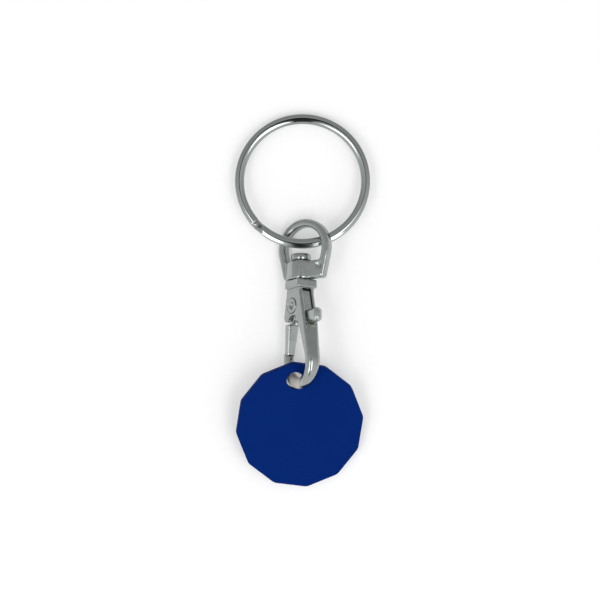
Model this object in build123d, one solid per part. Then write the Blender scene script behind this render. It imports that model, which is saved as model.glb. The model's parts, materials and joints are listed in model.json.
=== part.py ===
from build123d import *

import os
from math import asin, atan, cos, degrees, hypot, pi, radians, sin, tan

# Trolley token on a trigger snap hook and a split ring, lying flat on a table.
# Millimetres. +X is across, +Y runs towards the split ring and +Z is up.
# The origin is under the middle of the whole object, on the table.

# ---- clearances -------------------------------------------------------------------
running_fit = 0.05  # radial play of a pin in its hole
seat_fit = 0.01  # radial gap round a pin that is held fast
end_play = 0.10  # play of the eye along its post
side_play = 0.10  # play each side of the lever in its slot
seam = 0.12  # gap between the closed gate and the nose
past = 1.0  # how far a cut runs out past the metal
hair = 1e-6  # sizes closer than this are the same

# ---- split ring -------------------------------------------------------------------
ring_od = 25.1
wire_width = 1.68  # across the ring
wire_height = 0.97  # one turn, along the ring's axis
turn_gap = 0.04  # between the two turns
wire_crest = 0.08  # the wire's highest line, outside its middle
wire_shoulder = 0.14  # from the wire's widest point in to its outer slope
wire_slope = 0.23  # rise of the outer slope
wire_edge = 0.2  # rounding of the crest
joggle_angle = 230.0  # where the top turn starts to drop
joggle_sweep = 9.0  # angle taken to drop to the lower turn
joggle_steps = 6  # sections along the drop
turn_end_gap = 1.6  # angle left free at each cut end
ring_lean = 2.3  # turn of the ring's centre off the clip's axis

# ---- swivel eye -------------------------------------------------------------------
eye_width = 11.0
eye_height = 11.35
eye_bar = 1.5  # in the plane of the loop
eye_depth = 1.9  # across the plane of the loop
eye_taper = 13.5  # lean of each leg
eye_round = 0.5
eye_offset = 0.91  # the loop stands to one side of its post
eye_foot = 0.7  # rounding of the two lower corners
base_height = 3.4
boss_d = 4.8
eye_turn = 33.0  # plane of the loop above the table's plane
dimple_d = 1.9
dimple_sink = 0.35
dimple_up = 2.3  # above the eye's foot

# ---- swivel post, head and collar ---------------------------------------------------
post_d = 2.2
head_d = 3.7
head_height = 1.35
head_round = 0.4
collar_width = 4.75
collar_depth = 4.25
collar_height = 1.6
collar_round = 0.4

# ---- hook body ----------------------------------------------------------------------
body_depth = 3.15  # thickness between the two side faces
shoulder_half = 2.2  # from the axis to the nose side, under the collar
toe_half = 3.25  # the same at the toe
toe_drop = 5.2  # where the web between the two cheeks ends
toe_round = 0.85
toe_foot = 6.05  # lowest point of the toe
arch_left = -2.2
arch_top = 4.95  # below the collar
arch_foot = 5.55  # where the arch meets the arm
ridge_round = 0.4
wall = 0.65
spine_lean = 13.2
arm_width = 2.05
arm_depth = 2.8  # thickness at the foot of the arm
bend_r = 4.0  # centre line of the hook
bend_x = -0.1
bend_drop = 13.5
rod_d = 2.1  # at the bottom of the hook
rod_round = 0.47  # corner radius of the nearly round part, as a share of its width
nose_d = 1.8
nose_reach = 1.7  # from the bend's centre up to the end of the nose
bend_steps = 8  # sections along each quarter of the bend

# ---- gate, lever, knob, pivot and spring --------------------------------------------
pivot_x = -0.76
pivot_drop = 3.15
pin_d = 1.4
rivet_d = 2.75
rivet_height = 0.35
rivet_sink = 0.25
rivet_hollow_d = 1.55
rivet_hollow = 0.55
rivet_ring = 0.12  # gap round the head in its seat
rivet_round = 0.12
tail_d = 2.1
lever_thick = 1.7
lever_boss_d = 2.6
lever_recess = 0.3  # the lever's face behind the spine
lever_top_drop = 0.5
lever_arm = 1.15
knob_top_drop = 4.15
knob_height = 2.6
knob_reach = 6.2
knob_round = 0.75
gate_top_drop = 6.4
gate_top_x = -2.95
gate_top_width = 2.35
gate_top_depth = 1.4
gate_width = 1.35
gate_depth = 1.15
gate_round = 0.3
neck_width = 0.75
neck_thick = 0.9
neck_round = 0.2
neck_jog = (-2.05, -5.3)  # where the neck turns out under the toe
neck_foot = 6.25  # where it turns down again
tongue_width = 0.45
tongue_length = 0.75
tongue_depth = 0.6
spring_d = 1.3
spring_wire = 0.22
spring_turns = 4.5
spring_drop = 1.1
spring_set = 0.04  # gap at each end of the spring

# ---- token --------------------------------------------------------------------------
token_flats = 23.0
token_sides = 12
token_corner = 1.85
token_thick = 1.8
token_edge = 0.22
token_hole_play = 0.55  # round the hook's rod, which is bent and slants through
token_hole_edge = 0.08
token_hole_out = 8.6  # from the token's middle to its hole
token_seat = (0.09, 0.27)  # the hole's middle off the rod's, to clear the bend
token_yaw = 6.7  # the hole's place, turned from the clip's length
token_fall = 30.0  # the way it slopes, turned from the clip's length

# ---- how it lies ----------------------------------------------------------------------
axis_height = 4.46  # collar's underside above the table, on the axis
clip_tilt = 9.5  # the hook end is higher
clip_roll = 57.0  # plane of the hook above the table's plane
ring_seat = 6.76  # wire's centre line above the foot of the eye
hang_angle = 122.0  # where the token hangs on the bend

# ---- places that follow from the sizes ------------------------------------------------
bend_y = -bend_drop
pivot_y = -pivot_drop
nose_x = bend_x - bend_r
arm_slope = tan(radians(spine_lean))
arm_foot = (bend_x + bend_r * cos(radians(spine_lean)), bend_y + bend_r * sin(radians(spine_lean)))
arm_half = arm_width / 2 / cos(radians(spine_lean))
arm_across = (arm_width / 2 * cos(radians(spine_lean)), arm_width / 2 * sin(radians(spine_lean)))
slot_end = knob_top_drop + knob_height + side_play
arm_top = (arm_foot[0] - arm_slope * (-slot_end - arm_foot[1]), -slot_end)
slot_width = lever_thick + 2 * side_play
eye_foot_y = collar_height + end_play
head_y = eye_foot_y + base_height + end_play
tip_r = hypot(nose_x - pivot_x, bend_y + nose_reach - pivot_y)
ring_r = (ring_od - wire_width) / 2
turn_z = (wire_height + turn_gap) / 2
ring_thick = 2 * wire_height + turn_gap
token_hole_d = rod_d + 2 * token_hole_play
token_r = token_flats / 2 + token_corner * (1 / cos(pi / token_sides) - 1)
on_end = (Align.CENTER, Align.CENTER, Align.MIN)
under_end = (Align.CENTER, Align.CENTER, Align.MAX)


def arm_x(y, side):
    """The arm's face at height y: side 1 is the spine, -1 faces the gate, 0 is the middle."""
    return arm_foot[0] - arm_slope * (y - arm_foot[1]) + side * arm_half


def toe_x(y):
    """The body's face on the gate's side at height y."""
    return -shoulder_half + (toe_half - shoulder_half) * y / toe_drop


def slab(outline, thick):
    """A flat outline made into a plate, half its thickness each side of the middle plane."""
    return extrude(outline, amount=thick / 2, both=True)


def polygon(points):
    return make_face(Polyline(*points, close=True))


def disc(x, y, radius, thick):
    return Pos(x, y, 0) * Cylinder(radius, thick)


# ---- split ring -------------------------------------------------------------------
def wire_section(angle, z):
    """The flattened wire, cut across at this angle and height."""
    outward = Vector(cos(radians(angle)), sin(radians(angle)), 0)
    along = outward.cross(Vector(0, 0, 1))
    place = Plane(origin=ring_r * outward + Vector(0, 0, z), x_dir=outward, z_dir=along)
    return place * wire_outline()


def wire_outline():
    """Rolled wire: a flat slope outside the crest and a full curve inside it, the same above and below."""
    half, top = wire_width / 2, wire_height / 2
    shoulder = (half - wire_shoulder, top - wire_slope)
    inner = EllipticalCenterArc((wire_crest, 0), wire_crest + half, top, 90, arc_size=180)
    outer = ThreePointArc((shoulder[0], -shoulder[1]), (half, 0), shoulder)
    upper = Line(shoulder, (wire_crest, top))
    lower = Line((wire_crest, -top), (shoulder[0], -shoulder[1]))
    outline = make_face([inner, lower, outer, upper])
    crests = outline.vertices().sort_by(lambda v: abs(v.X - wire_crest))[:2]
    return fillet(crests, wire_edge)


def split_ring():
    """Two turns of flattened wire. The top turn ends beside the joggle down to the lower one."""
    drop_angle = joggle_angle - joggle_sweep
    turn = 360 - joggle_sweep - turn_end_gap
    upper = revolve(wire_section(joggle_angle, turn_z), axis=Axis.Z, revolution_arc=turn)
    lower = revolve(wire_section(drop_angle, -turn_z), axis=Axis.Z, revolution_arc=-turn)
    stations = []
    for step in range(joggle_steps + 1):
        share = step / joggle_steps
        stations.append(wire_section(drop_angle + share * joggle_sweep, -turn_z * cos(pi * share)))
    return upper + loft(stations) + lower


# ---- swivel eye -------------------------------------------------------------------
def stirrup_half(y, radius=eye_width / 2):
    """Half the width between the legs' faces at height y."""
    lean = radians(eye_taper)
    side_y = eye_height - eye_width / 2 - radius * sin(lean)
    return radius * cos(lean) - (side_y - y) * tan(lean)


def stirrup_outline(radius, foot_y, corner):
    """An arch on two tapering legs, closed by a straight foot with rounded corners."""
    centre_y = eye_height - eye_width / 2
    side_x = radius * cos(radians(eye_taper))
    side_y = centre_y - radius * sin(radians(eye_taper))
    foot_x = stirrup_half(foot_y, radius)
    arch = ThreePointArc((side_x, side_y), (0, centre_y + radius), (-side_x, side_y))
    legs = Polyline((-side_x, side_y), (-foot_x, foot_y), (foot_x, foot_y), (side_x, side_y))
    outline = make_face(arch + legs)
    return Pos(eye_offset, 0) * fillet(outline.vertices().sort_by(Axis.Y)[:2], corner)


def swivel_eye():
    """The stirrup with its base closed round the post in a round boss."""
    outer = stirrup_outline(eye_width / 2, 0, eye_foot)
    inner = stirrup_outline(eye_width / 2 - eye_bar, base_height, eye_round)
    eye = slab(outer - inner, eye_depth)
    rims = eye.faces().sort_by(Axis.Z)
    eye = fillet(rims[0].edges() + rims[-1].edges(), eye_round)
    foot_left = eye_offset - stirrup_half(0) + eye_depth / 2
    outline = make_hull(Circle(boss_d / 2).edges() + (Pos(foot_left, 0) * Circle(eye_depth / 2)).edges())
    boss = Rot(X=-90) * extrude(outline, amount=base_height)
    rims = boss.faces().sort_by(Axis.Y)
    boss = fillet(rims[0].edges() + rims[-1].edges(), eye_round / 2)
    bore = Pos(0, base_height / 2, 0) * Rot(X=90) * Cylinder(post_d / 2 + running_fit, 2 * base_height)
    dimple_x = (boss_d + eye_width) / 4 + eye_offset / 2
    dimple_z = eye_depth / 2 + dimple_d / 2 - dimple_sink
    dimple = Pos(dimple_x, dimple_up, dimple_z) * Sphere(dimple_d / 2)
    return eye + boss - bore - dimple


# ---- hook body ----------------------------------------------------------------------
def rod_section(x, y, angle, width, depth, corner):
    """A rounded section of the rod, square to its way at this angle."""
    across = Vector(sin(radians(angle)), -cos(radians(angle)), 0)
    place = Plane(origin=(x, y, 0), x_dir=(0, 0, 1), z_dir=across)
    return place * RectangleRounded(depth, width, corner)


def bend_section(angle, width, depth):
    x = bend_x + bend_r * cos(radians(angle))
    y = bend_y + bend_r * sin(radians(angle))
    return rod_section(x, y, angle, width, depth, rod_round * width)


def hook_rod():
    """The arm, the bend and the nose: one section carried round, from flat to round."""
    top = rod_section(*arm_top, spine_lean, arm_width, body_depth, ridge_round)
    arm = loft([top, bend_section(spine_lean, arm_width, arm_depth)], ruled=True)
    down, up = [], []
    for step in range(bend_steps + 1):
        share = step / bend_steps
        width = arm_width + share * (rod_d - arm_width)
        depth = arm_depth + share * (rod_d - arm_depth)
        down.append(bend_section(spine_lean - share * (90 + spine_lean), width, depth))
        width = rod_d + share * (nose_d - rod_d)
        up.append(bend_section(-90 - share * 90, width, width))
    nose = extrude(bend_section(-180, nose_d, nose_d), amount=nose_reach + nose_d / 2)
    return arm + loft(down) + loft(up) + nose


def body_block():
    """The casting's flat-sided upper part, with the arch that the gate comes out of."""
    arch_right = arm_x(-arch_foot, -1)
    sides = Polyline(
        (arch_right, -arch_foot),
        (arm_top[0] - arm_across[0], arm_top[1] - arm_across[1]),
        (arm_top[0] + arm_across[0], arm_top[1] + arm_across[1]),
        (arm_x(0, 1), 0),
        (arm_x(0, 1), collar_round),
        (toe_x(0), collar_round),
        (toe_x(0), 0),
        (toe_x(-toe_foot), -toe_foot),
        (arch_left, -toe_foot),
    )
    crown = ((arch_left + arch_right) / 2, -arch_top)
    arch = ThreePointArc((arch_left, -toe_foot), crown, (arch_right, -arch_foot))
    outline = make_face(sides + arch)
    toe = outline.vertices().sort_by(Axis.X)[0]
    return slab(fillet(toe, toe_round), body_depth)


def collar_and_post():
    """The square collar under the eye, the post through it and the head that holds it."""
    collar = Pos(0, collar_height / 2, 0) * Box(collar_width, collar_height, collar_depth)
    collar = fillet(collar.edges().filter_by(Axis.Y), collar_round)
    collar = fillet(collar.faces().sort_by(Axis.Y)[-1].edges(), collar_round / 2)
    collar = chamfer(collar.faces().sort_by(Axis.Y)[0].edges(), collar_round / 2)
    post_height = head_y + head_height / 2
    post = Pos(0, post_height / 2, 0) * Rot(X=90) * Cylinder(post_d / 2, post_height)
    head = Pos(0, head_y + head_height / 2, 0) * Rot(X=90) * Cylinder(head_d / 2, head_height)
    head = fillet(head.edges().filter_by(GeomType.CIRCLE), head_round)
    return collar + post + head


def lever_pocket():
    """The pocket the lever swings in: open at the arch, and through the spine for the knob."""
    roof = collar_height / 3
    floor = -slot_end
    left = toe_x(-toe_drop) + wall
    outline = polygon(
        [
            (toe_x(0) + wall, roof),
            (left, -toe_drop),
            (left - past, -toe_drop - past),
            (left - past, floor - past),
            (arm_x(floor, -1), floor - past),
            (arm_x(floor, -1), floor),
            (arm_x(floor, 1) - wall, floor),
            (arm_x(floor, 1) + past, floor - past),
            (arm_x(floor, 1) + past, -side_play),
            (arm_x(0, 1) - wall, -side_play),
            (arm_x(0, 1) - wall, roof),
        ]
    )
    pocket = slab(outline, slot_width)
    return pocket


def rivet_seats():
    """The hole for the rivet and the shallow seats for its two ends."""
    seat_d = rivet_d + 2 * rivet_ring
    deep = body_depth / 2 - rivet_sink
    bore = Cylinder(pin_d / 2 + seat_fit, 2 * body_depth)
    front = Pos(0, 0, deep) * Cylinder(seat_d / 2, past, align=on_end)
    back = Pos(0, 0, -deep) * Cylinder(tail_d / 2 + rivet_ring, past, align=under_end)
    return Pos(pivot_x, pivot_y, 0) * (bore + front + back)


def nose_trim():
    """What the closed gate needs cut from the nose: the seam and the groove for its tongue."""
    reach = tip_r + tongue_length + seam
    over = Pos(nose_x, pivot_y - tip_r / 2 - seam) * Rectangle(4 * nose_d, tip_r)
    gap = slab(Pos(pivot_x, pivot_y) * Circle(tip_r + seam) & over, 2 * nose_d)
    mouth = Pos(nose_x - tongue_depth / 2, pivot_y) * Rectangle(
        4 * nose_d, 2 * reach, align=(Align.MIN, Align.CENTER)
    )
    groove = slab(Pos(pivot_x, pivot_y) * Circle(reach) & mouth, tongue_width + side_play)
    return gap, groove


def hook_body():
    """The whole casting, hollowed for the lever and drilled for the rivet."""
    body = body_block()
    body = fillet(body.edges().filter_by(on_ridge), ridge_round)
    body = body + hook_rod() + collar_and_post()
    body = body - lever_pocket() - rivet_seats()
    gap, groove = nose_trim()
    near_nose = Pos(nose_x, bend_y + nose_reach, 0) * Box(3 * nose_d, 4 * nose_d, 3 * nose_d)
    return body - (near_nose & (gap + groove))


# ---- gate, lever and knob -------------------------------------------------------------
def lever_plate():
    """The flat lever: its arm behind the slot and its boss on the rivet."""
    top = -lever_top_drop
    knob_foot = -knob_top_drop - knob_height
    face_top = arm_x(top, 1) - lever_recess
    face_foot = arm_x(knob_foot, 1) - lever_recess
    boss_r = lever_boss_d / 2
    arm = polygon(
        [
            (face_top - lever_arm, top),
            (face_top, top),
            (face_foot, knob_foot),
            (face_foot - lever_arm, knob_foot),
            (pivot_x, pivot_y - boss_r),
            (pivot_x - boss_r, pivot_y),
            (face_top - lever_arm, pivot_y + boss_r),
        ]
    )
    plate = slab(arm + Pos(pivot_x, pivot_y) * Circle(boss_r), lever_thick)
    return plate + lever_neck()


def lever_neck():
    """The narrow neck from the boss, out under the arch, to the top of the gate."""
    way = Polyline(
        (pivot_x - lever_boss_d / 4, pivot_y - lever_boss_d / 4),
        neck_jog,
        (gate_top_x, -neck_foot),
        (gate_top_x, -gate_top_drop - gate_top_depth / 2),
    )
    neck = slab(trace(way, neck_width), neck_thick)
    return fillet(neck.edges().filter_by(Axis.Z, reverse=True), neck_round)


def thumb_knob():
    """The stud that stands out through the slot, with a domed end."""
    foot = (pivot_x + knob_reach) / 2
    knob = Box(knob_reach - foot, knob_height, lever_thick, align=(Align.MIN, Align.MAX, Align.CENTER))
    end = knob.faces().sort_by(Axis.X)[-1]
    knob = fillet(end.edges() + knob.edges().filter_by(Axis.X), knob_round)
    return Pos(foot, -knob_top_drop, 0) * knob


def gate_bar():
    """The tapered gate. Its end is turned to the arc it swings on, with a tongue for the nose."""
    stations = []
    for x, y, depth, width in (
        (gate_top_x, -gate_top_drop, gate_top_depth, gate_top_width),
        (nose_x, bend_y + nose_reach - nose_d, gate_depth, gate_width),
    ):
        level = Plane(origin=(x, y, 0), x_dir=(1, 0, 0), z_dir=(0, -1, 0))
        stations.append(level * RectangleRounded(depth, width, gate_round))
    swing = Pos(pivot_x, pivot_y, 0) * Cylinder(tip_r, 2 * gate_top_width)
    reach = Pos(pivot_x, pivot_y, 0) * Cylinder(tip_r + tongue_length, 2 * gate_top_width)
    tongue_x = nose_x - tongue_depth / 2 + side_play
    tongue = Pos(tongue_x, bend_y + nose_reach, 0) * Box(
        tongue_depth, 4 * tongue_length, tongue_width, align=(Align.MIN, Align.CENTER, Align.CENTER)
    )
    return (loft(stations) & swing) + (tongue & reach)


def gate_lever():
    """One casting: gate, lever and knob, with a running fit on the rivet."""
    bore = disc(pivot_x, pivot_y, pin_d / 2 + running_fit, 2 * lever_thick)
    return lever_plate() + thumb_knob() + gate_bar() - bore


def gate_pivot_pin():
    """The rivet: a hollow-ended head in its seat, a plain shank and a flattened tail."""
    deep = body_depth / 2 - rivet_sink
    shank = Cylinder(pin_d / 2, 2 * deep)
    head = Pos(0, 0, deep) * Cylinder(rivet_d / 2, rivet_height, align=on_end)
    head = fillet(head.edges().sort_by(Axis.Z)[-1], rivet_round)
    tail = Pos(0, 0, -deep) * Cylinder(tail_d / 2, rivet_height, align=under_end)
    tail = fillet(tail.edges().sort_by(Axis.Z)[0], rivet_round)
    cone = Cone(rivet_hollow_d / 4, rivet_hollow_d / 2, rivet_hollow, align=under_end)
    hollow = Pos(0, 0, deep + rivet_height) * cone
    return Pos(pivot_x, pivot_y, 0) * (shank + head + tail - hollow)


def gate_spring():
    """The coil between the body's wall and the back of the lever's arm."""
    y = -spring_drop
    coil_r = (spring_d - spring_wire) / 2
    start = toe_x(y + spring_d / 2) + wall + spring_set + spring_wire / 2
    stop = arm_x(-lever_top_drop, 1) - lever_recess - lever_arm - spring_set - spring_wire / 2
    path = Helix(pitch=(stop - start) / spring_turns, height=stop - start, radius=coil_r)
    section = Plane(origin=path @ 0, z_dir=path % 0) * Circle(spring_wire / 2)
    coil = sweep(section, path=path, is_frenet=True)
    return Pos(start, y, 0) * Rot(Y=90) * coil


# ---- token ----------------------------------------------------------------------------
def token():
    """A many-sided disc with rounded corners and one hole near a corner."""
    outline = RegularPolygon(token_flats / 2, token_sides, major_radius=False, rotation=90)
    outline = fillet(outline.vertices(), token_corner)
    plate = slab(outline, token_thick)
    rims = plate.faces().sort_by(Axis.Z)
    plate = fillet(rims[0].edges() + rims[-1].edges(), token_edge)
    hole = disc(0, token_hole_out, token_hole_d / 2, 2 * token_thick)
    plate = plate - hole
    mouth = plate.edges().filter_by(GeomType.CIRCLE).filter_by(at_hole)
    return fillet(mouth, token_hole_edge)


def at_hole(edge):
    return abs(edge.radius - token_hole_d / 2) < hair


def on_ridge(edge):
    """The long edges of the body's block, where a side face meets the spine or the toe."""
    on_face = abs(abs(edge.center().Z) - body_depth / 2) < hair
    return on_face and edge.geom_type == GeomType.LINE and edge.length > toe_foot - toe_round


# ---- places -----------------------------------------------------------------------------
def place_clip():
    return Pos(0, 0, axis_height) * Rot(X=-clip_tilt) * Rot(Y=-clip_roll)


def place_eye():
    return Pos(0, 0, axis_height) * Rot(X=-clip_tilt) * Rot(Y=-eye_turn) * Pos(0, eye_foot_y, 0)


def place_ring():
    """Through the eye, with the far side of the ring down on the table."""
    seat = (place_eye() * Pos(eye_offset, ring_seat, 0)).position
    rise = (seat.Z - ring_thick / 2) / (ring_od - wire_width / 2)
    return Pos(seat) * Rot(Z=ring_lean) * Rot(X=-degrees(asin(rise))) * Pos(0, ring_r, 0)


def hang_point():
    """The rod's centre where the token hangs."""
    angle = radians(-hang_angle)
    return (place_clip() * Pos(bend_x + bend_r * cos(angle), bend_y + bend_r * sin(angle), 0)).position


def place_token():
    """On the hook at its hole, with its lowest edge down on the table."""
    hang = hang_point()
    off = token_yaw - token_fall
    reach = (token_hole_out - token_seat[1]) * cos(radians(off)) + token_r
    tilt = asin(hang.Z / hypot(reach, token_thick / 2)) - atan(token_thick / 2 / reach)
    turned = Rot(Z=token_fall) * Rot(X=degrees(tilt)) * Rot(Z=off)
    return Pos(hang) * turned * Pos(token_seat[0], token_seat[1] - token_hole_out, 0)


pieces = {
    "split_ring": place_ring() * split_ring(),
    "swivel_eye": place_eye() * swivel_eye(),
    "hook_body": place_clip() * hook_body(),
    "gate_lever": place_clip() * gate_lever(),
    "gate_pivot_pin": place_clip() * gate_pivot_pin(),
    "gate_spring": place_clip() * gate_spring(),
    "token": place_token() * token(),
}
whole = pieces["token"].bounding_box()
for piece in pieces.values():
    whole = whole.add(piece.bounding_box())
to_origin = Pos(-whole.center().X, -whole.center().Y, -whole.min.Z)
os.makedirs("parts", exist_ok=True)
for name, piece in pieces.items():
    export_step(to_origin * piece, "parts/" + name + ".step")
    print(name, round(piece.volume, 2), piece.is_valid, len(piece.solids()))
print("size", whole.size, "moved by", to_origin.position)
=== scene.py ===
import json

import bpy
import numpy as np
from mathutils import Matrix


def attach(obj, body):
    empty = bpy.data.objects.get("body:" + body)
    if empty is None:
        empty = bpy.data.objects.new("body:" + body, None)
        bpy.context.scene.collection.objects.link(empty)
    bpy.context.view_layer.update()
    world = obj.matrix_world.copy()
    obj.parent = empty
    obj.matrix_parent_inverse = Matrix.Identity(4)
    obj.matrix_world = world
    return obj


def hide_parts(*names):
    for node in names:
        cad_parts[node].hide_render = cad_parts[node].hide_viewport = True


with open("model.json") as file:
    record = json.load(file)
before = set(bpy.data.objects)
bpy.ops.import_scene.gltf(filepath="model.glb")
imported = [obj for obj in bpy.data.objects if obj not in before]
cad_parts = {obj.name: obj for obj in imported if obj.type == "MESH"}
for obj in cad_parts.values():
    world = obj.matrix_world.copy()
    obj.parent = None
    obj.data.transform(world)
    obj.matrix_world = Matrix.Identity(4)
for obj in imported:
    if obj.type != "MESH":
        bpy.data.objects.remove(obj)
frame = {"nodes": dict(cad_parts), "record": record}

bl_info = {
    "name": "Trolley token key ring",
    "version": (1, 0, 0),
    "blender": (4, 5, 0),
    "location": "3D View > Sidebar > Key ring",
    "description": "Dresses the packed token, hook, eye and split ring, and sets the stage",
    "category": "Object",
}

MM = 0.001
MOUNTS = {mount["name"]: mount for mount in frame["record"]["mounts"]}
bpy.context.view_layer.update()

# The split ring's wire: its length round one turn of the outline, in widths, and how much thinner
# a rounded cut end gets.
WIRE_GIRTH = 2.6
END_TAPER = 0.16

# Patterns in the finishes, as scale per metre and detail.
PLATING_CLOUDS = 700.0, 4.0
PLATING_MARKS = 5200.0, 6.0
PLATING_SKIN = 620.0, 1.5
PLATING_PITS = 2300.0, 3.0
WIRE_CLOUDS = 420.0, 4.0
WIRE_HAIRS = 60.0, 9000.0, 1.0  # along the wire, round it, and unused
TOKEN_CLOUDS = 160.0, 5.0
TOKEN_GRAIN = 6500.0, 3.0
FLOOR_TOOTH = 900.0, 2.0

# Fixed tones: the pale grey painted as light into the casting's recesses and over the hook's nose, and the
# floor's card.
PAINTED_LIGHT_GREY = 0.64, 0.62, 0.55
CARD = 0.68, 0.68, 0.68
CARD_FIBRE = 0.71, 0.71, 0.71


# ---- places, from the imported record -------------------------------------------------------
def unit(vector):
    """The vector at length 1."""
    vector = np.asarray(vector, float)
    return vector / np.linalg.norm(vector)


def ring_place():
    """The split ring's centre and its three axes, from the record's mount: the first one is level."""
    mount = MOUNTS["keys_on_split_ring"]
    axis = unit(mount["axis"])
    level = unit((axis[1], -axis[0], 0))
    return np.array(mount["pos_m"]), level, np.cross(axis, level), axis


# ---- split ring ----------------------------------------------------------------------------
def wire_outline(finish, count=56):
    """Points round the wire, in metres: outwards from the turn's middle line, and along its axis.

    Inside the crest, at c, it is an ellipse: r = c - (c + w) cos t, z = h sin t. Outside the crest
    a slope runs straight down to the shoulder, and a short curve closes the outer edge. Two passes
    of a weighted mean of three neighbours soften the corners."""
    half, top = finish.wire_width / 2, finish.wire_height / 2
    crest, shoulder, edge = finish.wire_crest, half - finish.wire_edge, top - finish.wire_slope
    turn = np.linspace(-np.pi / 2, np.pi / 2, count // 2, endpoint=False)
    inner = np.column_stack((crest - (crest + half) * np.cos(turn), top * np.sin(turn)))
    share = np.linspace(0, 1, count // 7, endpoint=False)[:, None]
    down = np.array((crest, top)) * (1 - share) + np.array((shoulder, edge)) * share
    turn = np.linspace(np.pi / 2, -np.pi / 2, count // 4, endpoint=False)
    outer = np.column_stack((shoulder + finish.wire_edge * np.cos(turn), edge * np.sin(turn)))
    up = down[::-1] * (1, -1)
    loop = np.vstack((inner, down, outer, np.array([[shoulder, -edge]]), up[:-1]))
    for _ in range(2):
        loop = (np.roll(loop, 1, axis=0) + 2 * loop + np.roll(loop, -1, axis=0)) / 4
    return loop


def ring_path(finish, count=760):
    """Angle round the ring and height along its axis, from the lower cut end to the upper one.

    Two level turns at -s and +s; over the joggle the height is -s cos(pi u), u from 0 to 1."""
    sweep = finish.joggle_sweep
    turn = 2 * np.pi - sweep - finish.end_gap
    angle = np.linspace(finish.joggle_angle - sweep - turn, finish.joggle_angle + turn, count)
    share = np.clip((angle - finish.joggle_angle + sweep) / sweep, 0, 1)
    return angle, -finish.turn_step / 2 * np.cos(np.pi * share)


def end_taper(finish, along):
    """1 along the wire, and less near a cut end: 1 - e (1 - sqrt(1 - d d)), d from 0 to 1 at the end."""
    room = np.minimum(along, along[-1] - along)
    depth = 1 - np.clip(room / finish.end_round, 0, 1)
    return 1 - END_TAPER * (1 - np.sqrt(1 - depth**2))


def grid_quads(rows, columns):
    """Faces between each row of points and the next, closed round the columns."""
    first = np.arange(rows - 1)[:, None] * columns
    here, after = np.arange(columns), (np.arange(columns) + 1) % columns
    corners = first + here, first + after, first + columns + after, first + columns + here
    return np.stack(corners, axis=-1).reshape(-1, 4)


def grid_uv(along, round_about):
    """The UV of every corner of those faces, in metres: along the wire, and round it."""
    shape = len(along) - 1, len(round_about) - 1
    start, stop = (np.broadcast_to(row[:, None], shape) for row in (along[:-1], along[1:]))
    low, high = (np.broadcast_to(row, shape) for row in (round_about[:-1], round_about[1:]))
    return np.stack((start, low, start, high, stop, high, stop, low), axis=-1).reshape(-1, 2)


def swept_ring(name, finish):
    """The rolled wire carried along the path, its two cut ends slightly rounded and closed.

    Point = centre + (R + r k) (x cos a + y sin a) + (h + z k) axis, for the outline's point r, z,
    the path's angle a and height h, and the taper k."""
    outline = wire_outline(finish)
    angle, height = ring_path(finish)
    radius = (finish.ring_od - finish.wire_width) / 2
    along = (angle - angle[0]) * radius
    taper = end_taper(finish, along)[:, None]
    centre, x_axis, y_axis, axis = ring_place()
    out = np.cos(angle)[:, None] * x_axis + np.sin(angle)[:, None] * y_axis
    reach = radius + outline[:, 0] * taper
    rise = height[:, None] + outline[:, 1] * taper
    points = centre + reach[:, :, None] * out[:, None, :] + rise[:, :, None] * axis
    rows, columns = reach.shape
    round_about = np.linspace(0, finish.wire_width * WIRE_GIRTH, columns + 1)
    last = (rows - 1) * columns
    caps = [list(range(columns))[::-1], list(range(last, last + columns))]
    quads, uv = grid_quads(rows, columns), grid_uv(along, round_about)
    return put_mesh(name, points.reshape(-1, 3), quads, uv=uv, caps=caps)


# ---- mesh helpers ----------------------------------------------------------------------------
def put_mesh(name, points, faces, smooth=True, uv=None, caps=()):
    """A mesh object at the origin from points and quads, with flat caps and an optional UV per corner."""
    mesh = bpy.data.meshes.new(name)
    mesh.from_pydata(points.tolist(), [], faces.tolist() + list(caps))
    shade = np.full(len(mesh.polygons), smooth)
    shade[len(faces):] = False
    mesh.polygons.foreach_set("use_smooth", shade)
    if uv is not None:
        layer = mesh.uv_layers.new(name="along")
        corners = np.zeros((len(mesh.loops), 2), np.float32)
        corners[: len(uv)] = uv
        layer.data.foreach_set("uv", corners.ravel())
    mesh.update()
    piece = bpy.data.objects.new(name, mesh)
    bpy.context.scene.collection.objects.link(piece)
    return piece


def dress(node, material):
    """A CAD node takes this material in every slot."""
    mesh = frame["nodes"][node].data
    mesh.materials.clear()
    mesh.materials.append(material)


# ---- shader helpers ---------------------------------------------------------------------------
def fresh(name):
    """A material with an empty node tree, its output and one Principled shader."""
    old = bpy.data.materials.get(name)
    if old:
        bpy.data.materials.remove(old)
    material = bpy.data.materials.new(name)
    material.use_nodes = True
    tree = material.node_tree
    tree.nodes.clear()
    out = tree.nodes.new("ShaderNodeOutputMaterial")
    shader = tree.nodes.new("ShaderNodeBsdfPrincipled")
    tree.links.new(shader.outputs["BSDF"], out.inputs["Surface"])
    return material, tree, shader


def add(tree, kind, inputs=None, **settings):
    """A node with its settings, and each input either linked to a socket or set to a value."""
    node = tree.nodes.new(kind)
    for key, value in settings.items():
        setattr(node, key, value)
    for key, value in (inputs or {}).items():
        if isinstance(value, bpy.types.NodeSocket):
            tree.links.new(value, node.inputs[key])
        else:
            node.inputs[key].default_value = value
    return node


def worked(tree, operation, first, second=0.0):
    """One sum on two levels, by the name of the operation."""
    return add(tree, "ShaderNodeMath", {0: first, 1: second}, operation=operation).outputs[0]


def ramp(tree, factor, low, high, start=0.0, end=1.0):
    """A level that goes from low to high while the factor goes from start to end."""
    node = add(tree, "ShaderNodeMapRange", {"Value": factor, "From Min": start, "From Max": end})
    node.inputs["To Min"].default_value = low
    node.inputs["To Max"].default_value = high
    return node.outputs["Result"]


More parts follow.
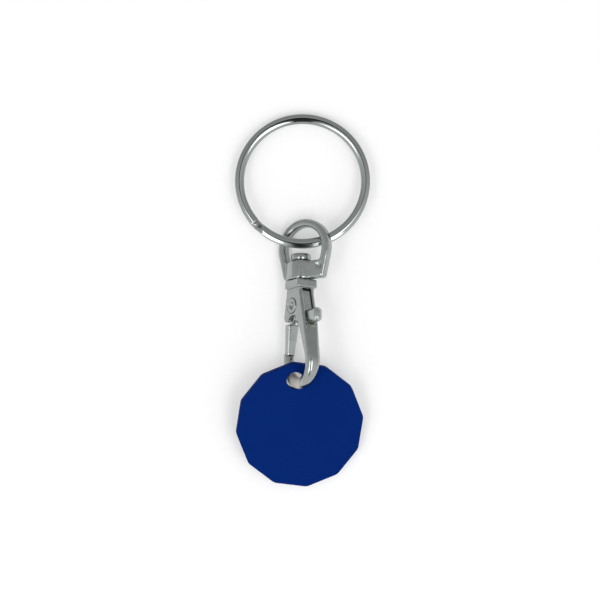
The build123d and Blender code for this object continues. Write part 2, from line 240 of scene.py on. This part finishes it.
def mixed(tree, factor, first, second):
    """Two colours mixed by a factor."""
    node = add(tree, "ShaderNodeMix", {"Factor": factor}, data_type="RGBA")
    for socket, value in ((node.inputs[6], first), (node.inputs[7], second)):
        if isinstance(value, bpy.types.NodeSocket):
            tree.links.new(value, socket)
        else:
            socket.default_value = (*value[:3], 1)
    return node.outputs[2]


def object_place(tree):
    """Where a point lies on the piece, in metres."""
    return add(tree, "ShaderNodeTexCoord").outputs["Object"]


def axes(tree, vector):
    """A vector's three parts, by the names X, Y and Z."""
    return add(tree, "ShaderNodeSeparateXYZ", {"Vector": vector}).outputs


def noise(tree, place, scale, detail):
    """A cloudy level round 0.5."""
    return add(tree, "ShaderNodeTexNoise", {"Vector": place, "Scale": scale, "Detail": detail}).outputs["Fac"]


def bump(tree, height, strength, distance, under=None):
    """The normal, moved by a height, on top of the normal under it."""
    inputs = {"Height": height, "Strength": strength, "Distance": distance}
    if under is not None:
        inputs["Normal"] = under
    return add(tree, "ShaderNodeBump", inputs).outputs["Normal"]


def cloudy_gloss(tree, cloud, roughness):
    """A roughness that wanders round its level."""
    return ramp(tree, cloud, 0.75 * roughness, 1.4 * roughness, 0.3, 0.7)


def cloudy_tone(tree, cloud, colour, shade):
    """A colour that goes over to its shade in clouds."""
    return mixed(tree, ramp(tree, cloud, 0.0, 1.0, 0.35, 0.65), colour, shade)


# ---- finishes -----------------------------------------------------------------------------------
def corner_mask(tree, place, x, y, fade=0.6 * MM):
    """1 left of x and below y, 0 past them, in metres."""
    spot = axes(tree, place)
    left = ramp(tree, spot["X"], 1.0, 0.0, x - fade, x + fade / 2)
    under = ramp(tree, spot["Y"], 1.0, 0.0, y - fade, y + fade)
    return worked(tree, "MULTIPLY", left, under)


def painted_light_places(tree, place, pocket, nose):
    """1 in the recesses past the pocket's corner and on everything past the nose's corner, else 0: where pale
    grey is painted in as light.
    """
    open_air = add(tree, "ShaderNodeAmbientOcclusion", {"Distance": 1.2 * MM}, samples=6).outputs["AO"]
    recess = ramp(tree, open_air, 1.0, 0.0, 0.35, 0.8)
    recess = worked(tree, "MULTIPLY", recess, corner_mask(tree, place, *pocket))
    return worked(tree, "MAXIMUM", recess, corner_mask(tree, place, *nose))


def polished_skin(tree, place, peel, edge, soft):
    """The normal of a polished casting: rounded edges, an uneven skin and a few fine pits."""
    rounding = edge
    if soft:
        axis, start, end, radius = soft
        rounding = ramp(tree, axes(tree, place)[axis], edge, radius, start, end)
    corner = add(tree, "ShaderNodeBevel", {"Radius": rounding}, samples=8).outputs["Normal"]
    wave = bump(tree, noise(tree, place, *PLATING_SKIN), peel, 0.06 * MM, corner)
    pitted = ramp(tree, noise(tree, place, *PLATING_PITS), 0.0, 1.0, 0.6, 0.72)
    return bump(tree, pitted, peel / 2, 0.02 * MM, wave)


def plated(name, colour, shade, roughness, peel, edge, soft=None, pocket=None, nose=None):
    """Bright nickel on a casting: edges rounded by the polishing, an uneven skin, cloudy gloss, fine marks.

    The edges can be rounded more past a place on one axis, given as soft = (axis, from, to, radius).
    Two places of painted light, each left of and below a point in metres: a pale grey, less metallic and
    rougher, painted into the recesses past `pocket` and over all of the piece past `nose`."""
    material, tree, shader = fresh(name)
    place = object_place(tree)
    bright = cloudy_tone(tree, noise(tree, place, *PLATING_CLOUDS), colour, shade)
    gloss = cloudy_gloss(tree, noise(tree, place, *PLATING_MARKS), roughness)
    shader.inputs["Metallic"].default_value = 1.0
    # Painted light: the recesses and the nose turn a pale matte grey, so they render lighter.
    if nose:
        painted_light = painted_light_places(tree, place, pocket, nose)
        bright = mixed(tree, painted_light, bright, PAINTED_LIGHT_GREY)
        gloss = worked(tree, "MAXIMUM", gloss, ramp(tree, painted_light, 0.0, 0.5))
        tree.links.new(ramp(tree, painted_light, 1.0, 0.2), shader.inputs["Metallic"])
    tree.links.new(bright, shader.inputs["Base Color"])
    tree.links.new(gloss, shader.inputs["Roughness"])
    tree.links.new(polished_skin(tree, place, peel, edge, soft), shader.inputs["Normal"])
    return material


def drawn(name, colour, shade, roughness):
    """Bright nickel on rolled wire: hair lines and faint tone along its length, over cloudy gloss."""
    material, tree, shader = fresh(name)
    flat = add(tree, "ShaderNodeUVMap", uv_map="along").outputs["UV"]
    stretch = add(tree, "ShaderNodeVectorMath", {0: flat, 1: WIRE_HAIRS}, operation="MULTIPLY")
    hair = noise(tree, stretch.outputs[0], 1.0, 3.0)
    gloss = cloudy_gloss(tree, noise(tree, object_place(tree), *WIRE_CLOUDS), roughness)
    shader.inputs["Metallic"].default_value = 1.0
    tree.links.new(cloudy_tone(tree, hair, colour, shade), shader.inputs["Base Color"])
    tree.links.new(gloss, shader.inputs["Roughness"])
    tree.links.new(bump(tree, hair, 0.12, 0.01 * MM), shader.inputs["Normal"])
    return material


def moulded(name, colour, shade):
    """Matte moulded plastic: a fine spark-eroded grain, slight clouding and dry gloss."""
    material, tree, shader = fresh(name)
    place = object_place(tree)
    grain = noise(tree, place, *TOKEN_GRAIN)
    clouded = mixed(tree, noise(tree, place, *TOKEN_CLOUDS), colour, shade)
    tree.links.new(clouded, shader.inputs["Base Color"])
    tree.links.new(ramp(tree, grain, 0.5, 0.66, 0.3, 0.7), shader.inputs["Roughness"])
    tree.links.new(bump(tree, grain, 0.12, 0.03 * MM), shader.inputs["Normal"])
    shader.inputs["Specular IOR Level"].default_value = 0.02
    return material


# ---- settings ------------------------------------------------------------------------------------
def length(name, value, note):
    """A length in metres, as a setting."""
    return bpy.props.FloatProperty(name=name, description=note, default=value, unit="LENGTH", precision=6)


def turn(name, degrees, note):
    """An angle, as a setting."""
    return bpy.props.FloatProperty(name=name, description=note, default=np.radians(degrees), subtype="ANGLE")


def tint(name, colour, note):
    """A colour, as a setting."""
    return bpy.props.FloatVectorProperty(
        name=name, description=note, subtype="COLOR", size=3, min=0, max=1, default=colour)


def fraction(name, value, note):
    """A level from 0 to 1, as a setting."""
    return bpy.props.FloatProperty(name=name, description=note, default=value, min=0, max=1)


def brightness(name, value, note):
    """A brightness, as a setting."""
    return bpy.props.FloatProperty(name=name, description=note, default=value, min=0)


class KeyringFinish(bpy.types.PropertyGroup):
    """The split ring's wire, and the colours and gloss of all pieces"""

    ring_od: length("Ring", 25.1 * MM, "Outside of the split ring")
    wire_width: length("Wire width", 1.68 * MM, "Wire, across the ring")
    wire_height: length("Wire height", 0.97 * MM, "One turn, along the ring's axis")
    wire_crest: length("Crest", 0.2 * MM, "The wire's highest line, outside its middle")
    wire_edge: length("Outer edge", 0.14 * MM, "Depth of the curve that closes the outer edge")
    wire_slope: length("Slope", 0.23 * MM, "Rise of the outer slope")
    turn_step: length("Turn step", 1.01 * MM, "From one turn's middle to the other's")
    end_round: length("Cut end", 0.12 * MM, "Rounding of the two cut ends")
    joggle_angle: turn("Joggle", 230, "Where the top turn starts to drop")
    joggle_sweep: turn("Joggle sweep", 9, "Angle taken to drop to the lower turn")
    end_gap: turn("End gap", 1.6, "Angle left free at each cut end")
    nickel: tint("Nickel", (0.37, 0.395, 0.385), "Colour of the plated castings and wire")
    nickel_shade: tint("Nickel shade", (0.33, 0.355, 0.345), "Darker tone in the plating's clouds")
    plastic: tint("Token", (0.0008, 0.0185, 0.15), "Colour of the token")
    plastic_shade: tint("Token shade", (0.0006, 0.0165, 0.138), "Darker tone in the token's moulding")
    casting_gloss: fraction("Casting roughness", 0.12, "Roughness of the plated castings")
    casting_edge: length("Casting edges", 0.42 * MM, "Rounding that the polishing leaves on the castings")
    wire_gloss: fraction("Wire roughness", 0.1, "Roughness of the plated wire")


class KeyringStage(bpy.types.PropertyGroup):
    """The floor, the camera and the light"""

    floor_side: length("Floor", 4.0, "Side of the floor")
    camera_height: length("Camera height", 0.4335, "Camera above the floor")
    view_width: length("View width", 0.1112, "Width seen at the object")
    lamp_far: length("Lamp distance", 0.8, "Soft boxes from the object")
    lamp_light: brightness("Lamp light", 3.3, "Brightness of the soft boxes' faces")
    sky_light: brightness("Sky light", 1.0, "Brightness of the room round the soft boxes")


def settings():
    """The two groups of settings."""
    scene = bpy.context.scene
    return scene.keyring_finish, scene.keyring_stage


# ---- operators --------------------------------------------------------------------------------------
class KEYRING_OT_castings(bpy.types.Operator):
    """Plates the swivel eye, the hook and the gate lever"""

    bl_idname = "keyring.castings"
    bl_label = "Castings"

    def execute(self, context):
        # Corners of the painted light: pale grey in the hook's recesses past the pocket, and over its nose.
        pocket, nose = (4.0 * MM, -3.3 * MM), (-0.2 * MM, -13.0 * MM)
        loop = "Y", 6.0 * MM, 7.5 * MM, 0.9 * MM
        head = "Y", 4.3 * MM, 4.9 * MM, 0.9 * MM
        knob = "Z", 9.0 * MM, 9.6 * MM, 1.0 * MM
        # Painted light and shade: the gate lever's nickel is painted a tenth lighter and the hook's a
        # twentieth darker than the eye's.
        self.plate("swivel_eye", tone=1.0, rougher=1.0, peel=0.4, soft=loop)
        self.plate("hook_body", tone=0.95, rougher=1.0, peel=0.25, soft=head, pocket=pocket, nose=nose)
        self.plate("gate_lever", tone=1.1, rougher=1.6, peel=0.9, soft=knob)
        return {"FINISHED"}

    def plate(self, node, tone, rougher, peel, **places):
        """One casting: the nickel's colours times its tone, which paints light or shade into them, and a
        roughness times how much rougher it is.
        """
        finish, _ = settings()
        tones = [[tone * part for part in colour] for colour in (finish.nickel, finish.nickel_shade)]
        roughness = rougher * finish.casting_gloss
        dress(node, plated("plated_" + node, *tones, roughness, peel, finish.casting_edge, **places))


class KEYRING_OT_ring(bpy.types.Operator):
    """Plates the split ring"""

    bl_idname = "keyring.ring"
    bl_label = "Split ring"

    def execute(self, context):
        finish, _ = settings()
        ring = swept_ring("split_ring_wire", finish)
        tones = finish.nickel, finish.nickel_shade
        ring.data.materials.append(drawn("plated_wire", *tones, finish.wire_gloss))
        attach(ring, "ring")
        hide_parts("split_ring")
        return {"FINISHED"}


class KEYRING_OT_rivet(bpy.types.Operator):
    """Finishes the rivet and the spring"""

    bl_idname = "keyring.rivet"
    bl_label = "Rivet and spring"

    def execute(self, context):
        finish, _ = settings()
        tones = finish.nickel, finish.nickel_shade
        rivet = plated("rivet", *tones, roughness=0.07, peel=0.1, edge=0.3 * MM)
        spring = plated("spring_wire", *tones, roughness=0.25, peel=0.1, edge=0.06 * MM)
        dress("gate_pivot_pin", rivet)
        dress("gate_spring", spring)
        return {"FINISHED"}


class KEYRING_OT_token(bpy.types.Operator):
    """Finishes the moulded token"""

    bl_idname = "keyring.token"
    bl_label = "Token"

    def execute(self, context):
        finish, _ = settings()
        dress("token", moulded("token_plastic", finish.plastic, finish.plastic_shade))
        return {"FINISHED"}


class KEYRING_OT_stage(bpy.types.Operator):
    """Lays the floor, hangs the lamps and sets the camera"""

    bl_idname = "keyring.stage"
    bl_label = "Stage"

    def execute(self, context):
        _, stage = settings()
        scene = context.scene
        half = stage.floor_side / 2
        corners = np.array([[-half, -half, 0], [half, -half, 0], [half, half, 0], [-half, half, 0]])
        floor = put_mesh("floor", corners, np.array([[0, 1, 2, 3]]), smooth=False)
        floor.data.materials.append(self.floor_paper())
        self.sky(scene, stage)
        self.lamps(scene, stage)
        self.camera(scene, stage)
        scene.view_settings.view_transform = "Standard"
        return {"FINISHED"}

    def floor_paper(self):
        """Pale card that shows white to the camera, with the shadow kept."""
        material, tree, shader = fresh("floor_paper")
        tooth = noise(tree, object_place(tree), *FLOOR_TOOTH)
        tree.links.new(mixed(tree, tooth, CARD, CARD_FIBRE), shader.inputs["Base Color"])
        shader.inputs["Roughness"].default_value = 0.9
        shader.inputs["Specular IOR Level"].default_value = 0.1
        shader.inputs["Emission Color"].default_value = (1, 1, 1, 1)
        tree.links.new(ramp(tree, self.seen_rays(tree), 0.0, 0.3), shader.inputs["Emission Strength"])
        return material

    def seen_rays(self, tree):
        """1 for what the camera, a gloss or a glass sees, else 0."""
        path = add(tree, "ShaderNodeLightPath").outputs
        seen = worked(tree, "MAXIMUM", path["Is Camera Ray"], path["Is Glossy Ray"])
        return worked(tree, "MAXIMUM", seen, path["Is Transmission Ray"])

    def sky(self, scene, stage):
        """A grey room, paler towards the token's end and overhead, with a dark gap between the soft boxes.

        Every number is a part of the direction looked in, where 1 is straight along the axis, or a
        brightness. The gap lies where a direction is inside all three of its edges."""
        gap_side, gap_foot, gap_top = (0.1, 0.2), (0.45, 0.75), (0.26, 0.34)
        token_end, ring_end, overhead, gap_light = 0.98, 0.52, 0.18, 0.03
        world = bpy.data.worlds.new("studio")
        scene.world = world
        world.use_nodes = True
        tree = world.node_tree
        tree.nodes.clear()
        way = axes(tree, add(tree, "ShaderNodeTexCoord").outputs["Generated"])
        beside = ramp(tree, worked(tree, "ABSOLUTE", way["X"]), 0.0, 1.0, *gap_side)
        below = ramp(tree, way["Z"], 1.0, 0.0, *gap_foot)
        behind = ramp(tree, way["Y"], 0.0, 1.0, *gap_top)
        outside = worked(tree, "MAXIMUM", worked(tree, "MAXIMUM", beside, below), behind)
        above = ramp(tree, way["Z"], 0.0, overhead, 0.85, 0.95)
        round_about = ramp(tree, way["Y"], token_end, ring_end, -0.3, 0.5)
        wall = worked(tree, "MULTIPLY", worked(tree, "ADD", above, round_about), stage.sky_light)
        level = worked(tree, "MAXIMUM", worked(tree, "MULTIPLY", outside, wall), gap_light)
        background = add(tree, "ShaderNodeBackground", {"Color": (1, 1, 1, 1), "Strength": level})
        out = tree.nodes.new("ShaderNodeOutputWorld")
        tree.links.new(background.outputs[0], out.inputs["Surface"])

    def lamps(self, scene, stage):
        """Two long soft boxes, left and right of the camera and a little to the token's end."""
        long, forward = 0.52, 0.3
        for name, lean, width in (("lamp_left", -25.9, 0.215), ("lamp_right", 20.3, 0.3)):
            lamp = bpy.data.lights.new(name, "AREA")
            lamp.shape, lamp.size, lamp.size_y = "RECTANGLE", width, long
            lamp.energy = stage.lamp_light * np.pi * lamp.size * lamp.size_y
            towards = unit((np.tan(np.radians(lean)), -forward, 1))
            across = unit(np.cross((0, 1, 0), towards))
            place = np.eye(4)
            place[:3, 0], place[:3, 1], place[:3, 2] = across, np.cross(towards, across), towards
            place[:3, 3] = towards * stage.lamp_far
            thing = bpy.data.objects.new(name, lamp)
            thing.matrix_world = Matrix(place.tolist())
            scene.collection.objects.link(thing)

    def camera(self, scene, stage):
        """A camera straight above, whose lens shows the view's width at the object's middle height."""
        middle_x, middle_y, middle_height = -0.476 * MM, 0.04 * MM, 3.5 * MM
        eye = bpy.data.cameras.new("camera")
        eye.sensor_width = 36.0
        eye.lens = eye.sensor_width * (stage.camera_height - middle_height) / stage.view_width
        eye.clip_start, eye.clip_end = 0.01, 20.0
        thing = bpy.data.objects.new("camera", eye)
        thing.location = (middle_x, middle_y, stage.camera_height)
        scene.collection.objects.link(thing)
        scene.camera = thing


class KEYRING_PT_panel(bpy.types.Panel):
    """Lists the operators and the settings"""

    bl_idname = "KEYRING_PT_panel"
    bl_label = "Key ring"
    bl_space_type = "VIEW_3D"
    bl_region_type = "UI"
    bl_category = "Key ring"

    def draw(self, context):
        for operator in OPERATORS:
            self.layout.operator(operator.bl_idname)
        for group in (context.scene.keyring_finish, context.scene.keyring_stage):
            for name in group.__annotations__:
                self.layout.prop(group, name)


OPERATORS = (KEYRING_OT_castings, KEYRING_OT_ring, KEYRING_OT_rivet, KEYRING_OT_token, KEYRING_OT_stage)
CLASSES = (KeyringFinish, KeyringStage, *OPERATORS, KEYRING_PT_panel)


def register():
    for made in CLASSES:
        bpy.utils.register_class(made)
    bpy.types.Scene.keyring_finish = bpy.props.PointerProperty(type=KeyringFinish)
    bpy.types.Scene.keyring_stage = bpy.props.PointerProperty(type=KeyringStage)


def unregister():
    del bpy.types.Scene.keyring_stage
    del bpy.types.Scene.keyring_finish
    for made in reversed(CLASSES):
        bpy.utils.unregister_class(made)


def main():
    register()
    bpy.ops.keyring.castings()
    bpy.ops.keyring.ring()
    bpy.ops.keyring.rivet()
    bpy.ops.keyring.token()
    bpy.ops.keyring.stage()


if __name__ == "__main__":
    main()
